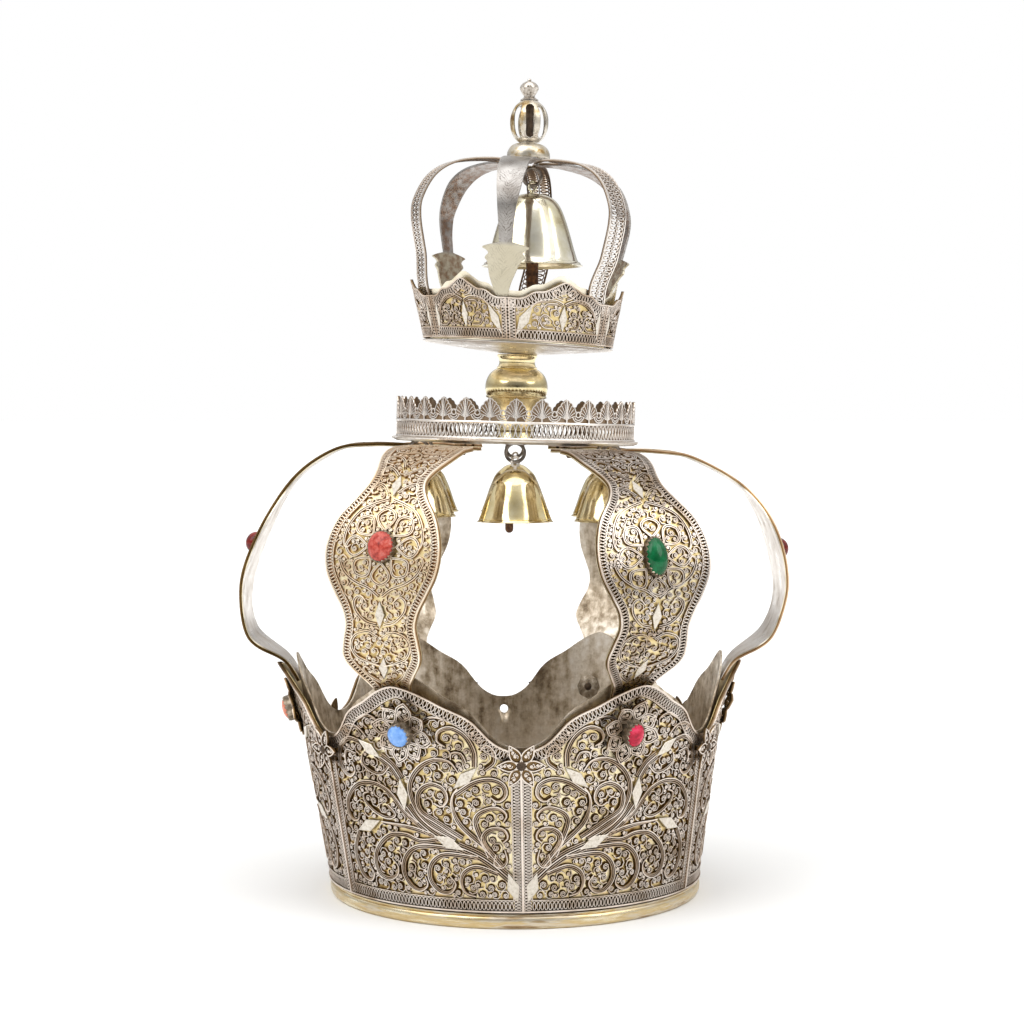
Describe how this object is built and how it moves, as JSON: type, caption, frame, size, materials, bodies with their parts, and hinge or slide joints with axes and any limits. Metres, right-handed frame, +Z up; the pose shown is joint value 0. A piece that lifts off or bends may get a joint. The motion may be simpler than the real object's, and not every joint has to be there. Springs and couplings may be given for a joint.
{
  "type": "torah crown",
  "caption": "Gilt and silver filigree scroll crown with a lobed coronet, scalloped arches, hanging bells, a galleried platform and a small crown with bell and finial on a stem.",
  "frame": {"origin": "centre of the flat underside of the base ring", "axes": "+Z up along the crown, -Y towards the front, where the empty middle arch position faces, +X to the right"},
  "size_m": [0.2535, 0.231, 0.3736],
  "materials": {
    "gilt": "worn gilding over silver, satin with fine scratches",
    "polished_gilt": "polished yellow gilding",
    "pale_gilt": "pale gilding worn thin over silver",
    "gilt_filigree": "gilt filigree wire over a gilt sheet",
    "silver_filigree": "oxidised silver filigree wire over a gilt sheet",
    "silver": "silver with light tarnish",
    "tarnished_silver": "mottled brown and grey tarnish",
    "dark_iron": "dark brown iron",
    "coronet_stone_1": "pale blue opaque cabochon",
    "coronet_stone_2": "rose red glass cabochon",
    "coronet_stone_4": "green cabochon",
    "coronet_stone_5": "dark red cabochon",
    "coronet_stone_6": "pale coral cabochon",
    "arch_stone_1": "mottled coral cabochon",
    "arch_stone_2": "deep green oval cabochon",
    "arch_stone_3": "dark red brown cabochon",
    "arch_stone_4": "pale blue opaque cabochon",
    "arch_stone_5": "mottled coral cabochon",
    "arch_stone_6": "dark red brown cabochon"
  },
  "bodies": {
    "root": {"arch_1": "gilt_filigree", "arch_2": "silver_filigree", "arch_3": "silver_filigree", "arch_4": "silver_filigree", "arch_5": "silver_filigree", "arch_6": "silver_filigree", "arch_stone_1": "arch_stone_1", "arch_stone_2": "arch_stone_2", "arch_stone_3": "arch_stone_3", "arch_stone_4": "arch_stone_4", "arch_stone_5": "arch_stone_5", "arch_stone_6": "arch_stone_6", "base_ring": "gilt", "bell_1": "polished_gilt", "bell_2": "polished_gilt", "bell_3": "polished_gilt", "bell_4": "polished_gilt", "bell_5": "polished_gilt", "bell_6": "polished_gilt", "bell_clapper_1": "dark_iron", "bell_clapper_2": "dark_iron", "bell_clapper_3": "dark_iron", "bell_clapper_4": "dark_iron", "bell_clapper_5": "dark_iron", "bell_clapper_6": "dark_iron", "coronet_lining": "tarnished_silver", "coronet_panel_1": "silver_filigree", "coronet_panel_2": "silver_filigree", "coronet_panel_3": "silver_filigree", "coronet_panel_4": "silver_filigree", "coronet_panel_5": "silver_filigree", "coronet_panel_6": "silver_filigree", "coronet_rosette_1": "silver_filigree", "coronet_rosette_2": "silver_filigree", "coronet_rosette_3": "silver_filigree", "coronet_rosette_5": "silver_filigree", "coronet_rosette_6": "silver_filigree", "coronet_stone_1": "coronet_stone_1", "coronet_stone_2": "coronet_stone_2", "coronet_stone_4": "coronet_stone_4", "coronet_stone_5": "coronet_stone_5", "coronet_stone_6": "coronet_stone_6", "finial_bud": "silver", "finial_cage": "pale_gilt", "finial_dome": "pale_gilt", "gallery": "silver_filigree", "platform": "silver", "stem": "polished_gilt", "upper_arch_1": "silver", "upper_arch_2": "silver_filigree", "upper_arch_3": "silver", "upper_arch_4": "silver_filigree", "upper_arch_5": "silver", "upper_arch_6": "silver_filigree", "upper_band": "silver_filigree", "upper_bell": "pale_gilt", "upper_bell_clapper": "dark_iron", "upper_lining": "pale_gilt", "upper_plate": "silver"}
  },
  "joints": []
}
